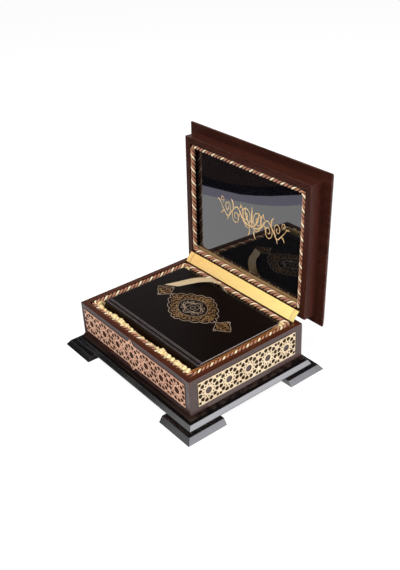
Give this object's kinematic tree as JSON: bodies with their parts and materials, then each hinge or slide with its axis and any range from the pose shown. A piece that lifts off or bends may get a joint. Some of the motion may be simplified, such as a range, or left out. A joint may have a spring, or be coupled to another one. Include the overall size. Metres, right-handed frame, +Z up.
{
  "type": "quran box",
  "caption": "Lacquered wooden book box on corner feet, with pierced star fretwork, satin lining, cord trim, a bound book inside and a hinged lid with a dark glass panel.",
  "frame": {"origin": "on the table under the feet, at the middle of the space that the object takes up with its lid open", "axes": "+X to the right along the hinge line, +Y to the back, +Z up"},
  "size_m": [0.3294, 0.285, 0.3162],
  "materials": {
    "black_lacquer": "near-black semi-gloss lacquer",
    "brown_lacquer": "dark mahogany lacquer, satin sheen",
    "lid_lacquer": "dark mahogany lacquer, satin sheen",
    "gold_fret": "gold-coloured pierced sheet",
    "gold_satin": "gold satin",
    "twisted_cord": "twisted cord, brown with gold strands",
    "cover_leather": "black leatherette with gold-stamped ornament",
    "gilt_pages": "paper with gilt edges",
    "bookmark_satin": "cream-gold satin ribbon",
    "hinge_brass": "polished brass",
    "dark_glass": "black mirror glass with gold ornament",
    "backing_board": "plain board"
  },
  "bodies": {
    "box": {"foot_front_left": "black_lacquer", "foot_front_right": "black_lacquer", "foot_back_left": "black_lacquer", "foot_back_right": "black_lacquer", "plinth": "black_lacquer", "base_moulding": "brown_lacquer", "wall_front": "brown_lacquer", "wall_back": "brown_lacquer", "wall_left": "brown_lacquer", "wall_right": "brown_lacquer", "fret_front": "gold_fret", "fret_left": "gold_fret", "fret_right": "gold_fret", "lining_front": "gold_satin", "lining_back": "gold_satin", "lining_left": "gold_satin", "lining_right": "gold_satin", "floor_pad": "gold_satin", "box_cord": "twisted_cord", "book_lower_cover": "cover_leather", "book_upper_cover": "cover_leather", "book_spine": "cover_leather", "page_block": "gilt_pages", "bookmark_ribbon": "bookmark_satin", "hinge_leaf_box_left": "hinge_brass", "hinge_leaf_box_right": "hinge_brass", "hinge_pin_left": "hinge_brass", "hinge_pin_right": "hinge_brass", "hinge_screws_box": "hinge_brass", "hinge_strip": "gold_satin"},
    "lid": {"lid_board": "lid_lacquer", "lid_rail_front": "lid_lacquer", "lid_rail_back": "lid_lacquer", "lid_rail_left": "lid_lacquer", "lid_rail_right": "lid_lacquer", "lid_backing": "backing_board", "lid_glass": "dark_glass", "lid_cord": "twisted_cord", "hinge_leaf_lid_left": "hinge_brass", "hinge_leaf_lid_right": "hinge_brass", "hinge_screws_lid": "hinge_brass"}
  },
  "joints": [
    {"name": "lid_hinge", "type": "hinge", "parent": "box", "child": "lid", "pos_m": [0, 0.0998, 0.0846], "axis": [1, 0, 0], "range_deg": [0, 91.7], "deforming": ["hinge_strip"]}
  ]
}
